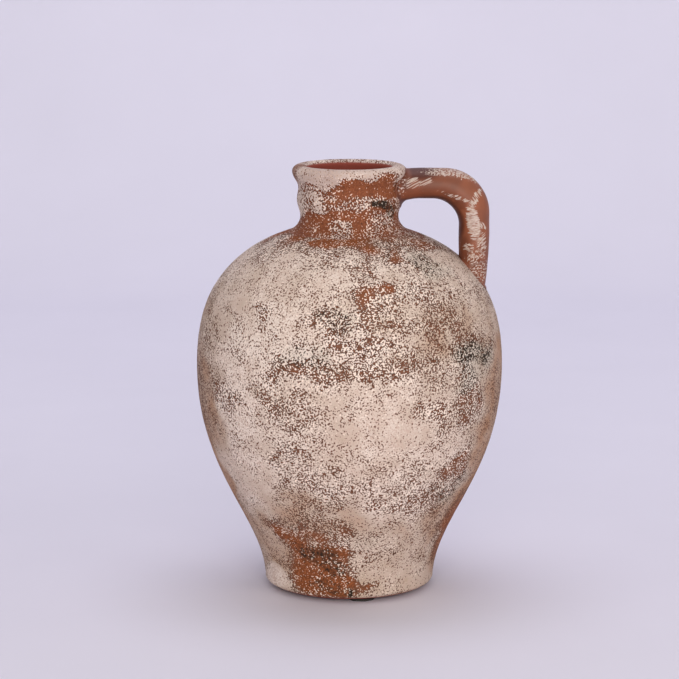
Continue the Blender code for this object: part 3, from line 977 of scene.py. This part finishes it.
def add(tree, kind, inputs=(), out=0, **settings):
    """The output of a new node. Inputs pair a socket with a value or with another node's output."""
    made = tree.nodes.new("ShaderNode" + kind)
    for setting, value in settings.items():
        setattr(made, setting, value)
    for socket, value in inputs:
        if isinstance(value, bpy.types.NodeSocket):
            tree.links.new(value, made.inputs[socket])
        else:
            made.inputs[socket].default_value = value
    return made.outputs[out] if made.outputs else None


def new_material(name):
    """An empty material, its node tree and the places that its marks are drawn at."""
    material = bpy.data.materials.new(name)
    material.use_nodes = True
    tree = material.node_tree
    tree.nodes.clear()
    return material, tree, add(tree, "TexCoord", out="Object")


def flecks_of(tree, place):
    """Sponge marks: rounded dabs with thin winding gaps, broken up by grain and gathered in clusters."""
    swell_inputs = [("Vector", place), ("Scale", 1 / FLECK_PERIOD), ("Detail", 0.4), ("Distortion", 0.6)]
    swells = add(tree, "TexNoise", swell_inputs)
    centred = add(tree, "Math", [(0, swells), (1, 0.5)], operation="SUBTRACT")
    folded = add(tree, "Math", [(0, centred)], operation="ABSOLUTE")
    grain_inputs = [("Vector", place), ("Scale", GRAIN_FINENESS / FLECK_PERIOD), ("Detail", 0.0)]
    grain = add(tree, "TexNoise", grain_inputs)
    dabs = add(tree, "Math", [(0, grain), (1, GRAIN_SHARE), (2, -GRAIN_SHARE / 2)], operation="MULTIPLY_ADD")
    spots = add(tree, "Math", [(0, folded), (1, dabs)])
    clusters = add(tree, "TexNoise", [("Vector", place), ("Scale", 1 / CLUSTER_PERIOD), ("Detail", 1.0)])
    gathered = add(tree, "Math", [(0, clusters), (1, CLUSTER_SHARE), (2, spots)], operation="MULTIPLY_ADD")
    return add(tree, "Math", [(0, gathered), (1, FOLD_MIDDLE + CLUSTER_SHARE / 2)], operation="SUBTRACT")


def slip_colour(tree, tone, wash, cover, tan, flecks, thick, finish):
    """Chalky slip: thin at its edges, lighter on its proudest dabs with thicker slip and a painted highlight,
    dull where it is stained tan or brown.
    """
    mottled = add(tree, "Math", [(0, wash), (1, TAN_MOTTLE), (2, tan)], operation="MULTIPLY_ADD")
    stain = add(tree, "Math", [(0, mottled), (1, TAN_MOTTLE / 2)], operation="SUBTRACT")
    pale = add(tree, "Mix", [(SHARE, tone), (UNDER, srgb(SLIP_GREY)), (OVER, srgb(SLIP_PINK))], **COLOURS)
    tanned = add(tree, "Mix", [(SHARE, stain), (UNDER, pale), (OVER, srgb(finish["tan slip"]))], **COLOURS)
    even = add(tree, "Mix", [(SHARE, thick), (UNDER, srgb(SLIP_THIN)), (OVER, tanned)], **COLOURS)

    # painted highlight: the proudest dabs are lighter, partly as thicker slip and partly as light caught on
    # them
    proud = add(tree, "Math", [(0, cover), (1, -BRIGHT_FALL), (2, flecks)], operation="MULTIPLY_ADD")
    bright_range = [("Value", proud), ("From Min", BRIGHT_START), ("From Max", BRIGHT_FULL)]
    bright = add(tree, "MapRange", bright_range, **SOFTLY)
    dull_range = [("Value", stain), ("From Min", DULL_START), ("From Max", DULL_FULL)]
    dulled = add(tree, "MapRange", dull_range + [("To Min", 1.0), ("To Max", BRIGHT_ON_TAN)])
    dabs = add(tree, "Math", [(0, bright), (1, dulled)], operation="MULTIPLY")
    dabbed = add(tree, "Mix", [(SHARE, dabs), (UNDER, even), (OVER, srgb(finish["proud slip highlight"]))], **COLOURS)
    past_tan = add(tree, "Math", [(0, stain), (1, 1.0)], operation="SUBTRACT", use_clamp=True)
    washed = [(SHARE, past_tan), (UNDER, dabbed), (OVER, srgb(BROWN_WASH))]
    return add(tree, "Mix", washed, **COLOURS, blend_type="MULTIPLY")


def clay_colour(tree, tone, wash, cover, level, thick, finish):
    """Red earthenware: shaded in its grain, veiled with a little slip, and darkest in the pits between dabs,
    with painted shade and some dirt there.
    """
    clays = [(SHARE, tone), (UNDER, srgb(finish["brown clay"])), (OVER, srgb(finish["red clay"]))]
    bare = add(tree, "Mix", clays, **COLOURS)
    shaded = [(SHARE, thick), (UNDER, srgb(finish["shaded clay"])), (OVER, bare)]
    grained = add(tree, "Mix", shaded, **COLOURS)
    thinned = add(tree, "MapRange", [("Value", wash), ("From Min", VEIL_START), ("From Max", VEIL_FULL)])
    veil = add(tree, "Math", [(0, cover), (1, thinned)], operation="MULTIPLY", use_clamp=True)
    veiled = add(tree, "Mix", [(SHARE, veil), (UNDER, grained), (OVER, srgb(CLAY_VEILED))], **COLOURS)
    among_slip = add(tree, "MapRange", [("Value", cover), ("From Min", WORN_START), ("From Max", WORN_FULL)])
    rubbed = [(SHARE, among_slip), (UNDER, veiled), (OVER, srgb(finish["worn clay"]))]
    worn = add(tree, "Mix", rubbed, **COLOURS)
    # painted shade, with some dirt: bare clay in the narrow pits between slip dabs is darkened
    narrow_range = [("Value", level), ("From Min", -OPEN_CLAY), ("From Max", 0.0)]
    narrow = add(tree, "MapRange", narrow_range, **SOFTLY)
    shade_in_pits = add(tree, "Math", [(0, narrow), (1, among_slip)], operation="MULTIPLY")
    return add(tree, "Mix", [(SHARE, shade_in_pits), (UNDER, worn), (OVER, srgb(finish["pit shade and dirt"]))], **COLOURS)


def smudges_of(tree, place, soot):
    """How much soot lies on the bare clay: it gathers in small smudges."""
    smudges = add(tree, "TexNoise", [("Vector", place), ("Scale", 1 / SMUDGE_PERIOD), ("Detail", 1.0)])
    gathered = add(tree, "Math", [(0, smudges), (1, SMUDGE_GAIN), (2, soot)], operation="MULTIPLY_ADD")
    start, full = SMUDGE_GAIN / 2 + SMUDGE_START, SMUDGE_GAIN / 2 + SMUDGE_FULL
    return add(tree, "MapRange", [("Value", gathered), ("From Min", start), ("From Max", full)])


def gritty_relief(tree, place, slip, grit_height):
    """Fine bump of the clay's grit and of the slip's own thickness."""
    grit = add(tree, "TexNoise", [("Vector", place), ("Scale", 1 / GRIT_PERIOD), ("Detail", 2.0)])
    relief = add(tree, "Math", [(0, grit), (1, grit_height), (2, slip)], operation="MULTIPLY_ADD")
    bump = [("Strength", RELIEF_STRENGTH), ("Distance", SLIP_THICKNESS), ("Height", relief)]
    return add(tree, "Bump", bump)


def clay_under_slip(name, finish, fleck_scale, bare_roughness):
    """Porous red earthenware, unglazed, under chalky slip sponged on and rubbed back: matte all over."""
    material, tree, place = new_material(name)
    masks = ("slip", "soot", "tan", "inside")
    cover, soot, tan, inside = (add(tree, "Attribute", out="Fac", attribute_name=mask) for mask in masks)
    tone = add(tree, "TexNoise", [("Vector", place), ("Scale", 1 / TONE_PERIOD), ("Detail", 3.0)])
    wash = add(tree, "TexNoise", [("Vector", place), ("Scale", 1 / WASH_PERIOD), ("Detail", 2.0)])

    askew = add(tree, "Mapping", [("Vector", place), ("Scale", fleck_scale), ("Rotation", FLECK_TURN)])
    flecks = flecks_of(tree, askew)
    raised = add(tree, "Math", [(0, cover), (1, COVER_GAIN), (2, flecks)], operation="MULTIPLY_ADD")
    level = add(tree, "Math", [(0, raised), (1, COVER_GAIN / 2)], operation="SUBTRACT")
    edge_range = [("Value", level), ("From Min", -COVER_SOFTNESS), ("From Max", COVER_SOFTNESS)]
    slip = add(tree, "MapRange", edge_range, **SOFTLY)
    thick_range = [("Value", flecks), ("From Min", -THICK_SLIP), ("From Max", THICK_SLIP)]
    thick = add(tree, "MapRange", thick_range, **SOFTLY)

    clay = clay_colour(tree, tone, wash, cover, level, thick, finish)
    smudges = smudges_of(tree, place, soot)
    sooty = add(tree, "Mix", [(SHARE, smudges), (UNDER, clay), (OVER, srgb(SOOT))], **COLOURS)
    coat = slip_colour(tree, tone, wash, cover, tan, flecks, thick, finish)
    soot_on_slip = add(tree, "Math", [(0, soot), (1, SOOT_ON_SLIP)], operation="MULTIPLY")
    stained = add(tree, "Mix", [(SHARE, soot_on_slip), (UNDER, coat), (OVER, srgb(SLIP_STAIN))], **COLOURS)
    outer = add(tree, "Mix", [(SHARE, slip), (UNDER, sooty), (OVER, stained)], **COLOURS)
    colour = add(tree, "Mix", [(SHARE, inside), (UNDER, outer), (OVER, srgb(INNER_CLAY))], **COLOURS)
    rough = add(tree, "MapRange", [("Value", slip), ("To Min", bare_roughness), ("To Max", SLIP_ROUGHNESS)])
    surface = [
        ("Base Color", colour),
        ("Roughness", rough),
        ("Normal", gritty_relief(tree, place, slip, BODY_GRIT)),
        ("IOR", CLAY_IOR),
        ("Specular IOR Level", POROUS_SHEEN),
    ]
    add(tree, "OutputMaterial", [("Surface", add(tree, "BsdfPrincipled", surface))])
    return material


def brushed_clay(name):
    """Red earthenware smoothed by hand, with dry brush marks of slip across it: dull, with a faint sheen."""
    material, tree, place = new_material(name)
    cover = add(tree, "Attribute", out="Fac", attribute_name="slip")
    stain = add(tree, "Attribute", out="Fac", attribute_name="stain")
    bristles = add(tree, "Attribute", out="Vector", attribute_name="bristles")
    tone = add(tree, "TexNoise", [("Vector", place), ("Scale", 1 / STRAP_TONE_PERIOD), ("Detail", 2.0)])
    tone_range = [("Value", tone), ("From Min", STRAP_TONE_START), ("From Max", STRAP_TONE_FULL)]
    spread = add(tree, "MapRange", tone_range)
    clays = [(SHARE, spread), (UNDER, srgb(HANDLE_BROWN)), (OVER, srgb(HANDLE_RED))]
    clay = add(tree, "Mix", clays, **COLOURS)
    # the stain mask darkens the clay with stains and with painted shade on the handle's inner side and lower
    # limb
    stained = add(tree, "Mix", [(SHARE, stain), (UNDER, clay), (OVER, srgb(HANDLE_DARK))], **COLOURS)

    streak_inputs = [("Vector", bristles), ("Scale", 1.0), ("Detail", 0.6), ("Distortion", 0.3)]
    streaks = add(tree, "TexNoise", streak_inputs)
    raised = add(tree, "Math", [(0, cover), (1, COVER_GAIN), (2, streaks)], operation="MULTIPLY_ADD")
    middle = 0.5 + COVER_GAIN / 2
    low, high = middle - STREAK_SOFTNESS, middle + STREAK_SOFTNESS
    slip = add(tree, "MapRange", [("Value", raised), ("From Min", low), ("From Max", high)], **SOFTLY)
    full = middle + THICK_SLIP
    thick = add(tree, "MapRange", [("Value", raised), ("From Min", middle), ("From Max", full)])
    pales = [(SHARE, spread), (UNDER, srgb(STREAK_PINK)), (OVER, srgb(STREAK_GREY))]
    pale = add(tree, "Mix", pales, **COLOURS)
    even = add(tree, "Mix", [(SHARE, thick), (UNDER, srgb(SLIP_THIN)), (OVER, pale)], **COLOURS)
    hairs = add(tree, "TexNoise", [("Vector", bristles), ("Scale", HAIRS_IN_A_STREAK), ("Detail", 1.0)])
    sheer_range = [("Value", hairs), ("From Min", SHEER_START), ("From Max", SHEER_END), ("To Min", SHEEREST)]
    film = add(tree, "Math", [(0, slip), (1, add(tree, "MapRange", sheer_range))], operation="MULTIPLY")
    rough = add(tree, "MapRange", [("Value", slip), ("To Min", STRAP_ROUGHNESS), ("To Max", SLIP_ROUGHNESS)])
    surface = [
        ("Base Color", add(tree, "Mix", [(SHARE, film), (UNDER, stained), (OVER, even)], **COLOURS)),
        ("Roughness", rough),
        ("Normal", gritty_relief(tree, place, film, STRAP_GRIT)),
        ("IOR", CLAY_IOR),
    ]
    add(tree, "OutputMaterial", [("Surface", add(tree, "BsdfPrincipled", surface))])
    return material


def moulded_rubber(name):
    """Moulded black rubber: near black, with a faint grain that scatters its gloss."""
    material, tree, place = new_material(name)
    grain = add(tree, "TexNoise", [("Vector", place), ("Scale", 1 / RUBBER_GRAIN_PERIOD), ("Detail", 3.0)])
    blacks = [(SHARE, grain), (UNDER, srgb(RUBBER_BLACK)), (OVER, srgb(RUBBER_WORN))]
    gloss = [("Value", grain), ("To Min", RUBBER_ROUGHNESS[0]), ("To Max", RUBBER_ROUGHNESS[1])]
    relief = [("Strength", RUBBER_RELIEF), ("Distance", RUBBER_GRAIN_DEPTH), ("Height", grain)]
    surface = [
        ("Base Color", add(tree, "Mix", blacks, **COLOURS)),
        ("Roughness", add(tree, "MapRange", gloss)),
        ("Normal", add(tree, "Bump", relief)),
        ("IOR", RUBBER_IOR),
    ]
    add(tree, "OutputMaterial", [("Surface", add(tree, "BsdfPrincipled", surface))])
    return material


def studio_paper(name):
    """Matte seamless paper, pale lavender grey."""
    material, tree, place = new_material(name)
    cast = add(tree, "TexNoise", [("Vector", place), ("Scale", PAPER_CASTS), ("Detail", 4.0)])
    tints = [(SHARE, cast), (UNDER, srgb(PAPER_DARKER)), (OVER, srgb(PAPER_LIGHTER))]
    surface = [("Base Color", add(tree, "Mix", tints, **COLOURS)), ("Roughness", PAPER_ROUGHNESS)]
    add(tree, "OutputMaterial", [("Surface", add(tree, "BsdfPrincipled", surface))])
    return material


# Studio


def make_sweep():
    """Floor that curves up into a wall behind the vase."""
    shape = bmesh.new()
    bend = (SWEEP_BEND_START, SWEEP_BEND)
    line = [(SWEEP_FRONT, 0.0)]
    line += arc(bend, SWEEP_BEND, SWEEP_BEND, -math.pi / 2, 0, SWEEP_BEND_STEPS)
    line.append((SWEEP_BEND_START + SWEEP_BEND, SWEEP_TOP))
    verts = [shape.verts.new((-SWEEP_HALF_WIDTH, depth, height)) for depth, height in line]
    edges = [shape.edges.new(pair) for pair in zip(verts, verts[1:])]
    made = bmesh.ops.extrude_edge_only(shape, edges=edges)["geom"]
    moved = [item for item in made if isinstance(item, bmesh.types.BMVert)]
    bmesh.ops.translate(shape, verts=moved, vec=(2 * SWEEP_HALF_WIDTH, 0, 0))
    bmesh.ops.recalc_face_normals(shape, faces=shape.faces)
    return finished("studio_sweep", shape)


def add_light(name, place, target, size, power, colour):
    """Square soft light that faces its target."""
    data = bpy.data.lights.new(name, "AREA")
    data.shape = "SQUARE"
    data.size = size
    data.energy = power
    data.color = srgb(colour)[:3]
    lamp = bpy.data.objects.new(name, data)
    lamp.location = place
    lamp.rotation_euler = (Vector(target) - Vector(place)).to_track_quat("-Z", "Y").to_euler()
    bpy.context.scene.collection.objects.link(lamp)


def add_camera():
    """Camera that sees the vase as the photograph does."""
    data = bpy.data.cameras.new("camera")
    data.lens = CAMERA_LENS
    data.sensor_width = SENSOR_WIDTH
    camera = bpy.data.objects.new("camera", data)
    camera.location = CAMERA_PLACE
    camera.rotation_euler = (CAMERA_TILT, 0, 0)
    bpy.context.scene.collection.objects.link(camera)
    bpy.context.scene.camera = camera


def set_studio():
    """World light, lamps and the seamless paper that the vase stands on."""
    scene = bpy.context.scene
    scene.view_settings.view_transform = "Standard"
    world = bpy.data.worlds.new("studio")
    world.use_nodes = True
    background = world.node_tree.nodes["Background"]
    background.inputs["Color"].default_value = srgb(SKY)
    background.inputs["Strength"].default_value = WORLD_STRENGTH
    scene.world = world
    for light in LIGHTS:
        add_light(*light)
    sweep = make_sweep()
    sweep.data.materials.append(studio_paper("seamless_paper"))


def dress(piece, material, node):
    """The piece in its material, in place of its plain node."""
    piece.data.materials.append(material)
    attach(piece, "root")
    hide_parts(node)


add_camera()
set_studio()

for make_half, name, node, slot in (
    (make_bowl, "sponged_bowl_earthenware", "lower_body", "slipped_body_clay"),
    (make_shoulder, "sponged_shoulder_earthenware", "upper_body", "slipped_shoulder_clay"),
):
    half = make_half()
    paint_vessel(half, SLIP_ON_THE_BODY, SOOT_ON_THE_BODY, TAN_ON_THE_BODY)
    dress(half, clay_under_slip(name, BODY_FINISH, BODY_FLECK_SCALE, BODY_ROUGHNESS), node)

neck = make_neck()
paint_vessel(neck, SLIP_ON_THE_NECK, SOOT_ON_THE_NECK, TAN_AND_SHADE_ON_THE_NECK)
neck_clay = clay_under_slip("scrubbed_neck_earthenware", NECK_FINISH, NECK_FLECK_SCALE, NECK_ROUGHNESS)
dress(neck, neck_clay, "neck_collar")

handle = make_handle()
paint_strap(handle)
dress(handle, brushed_clay("burnished_handle_earthenware"), "handle")

rubber = moulded_rubber("moulded_black_rubber")
for node in ("rubber_pad_front", "rubber_pad_rear_right", "rubber_pad_rear_left"):
    dress(make_pad(node), rubber, node)
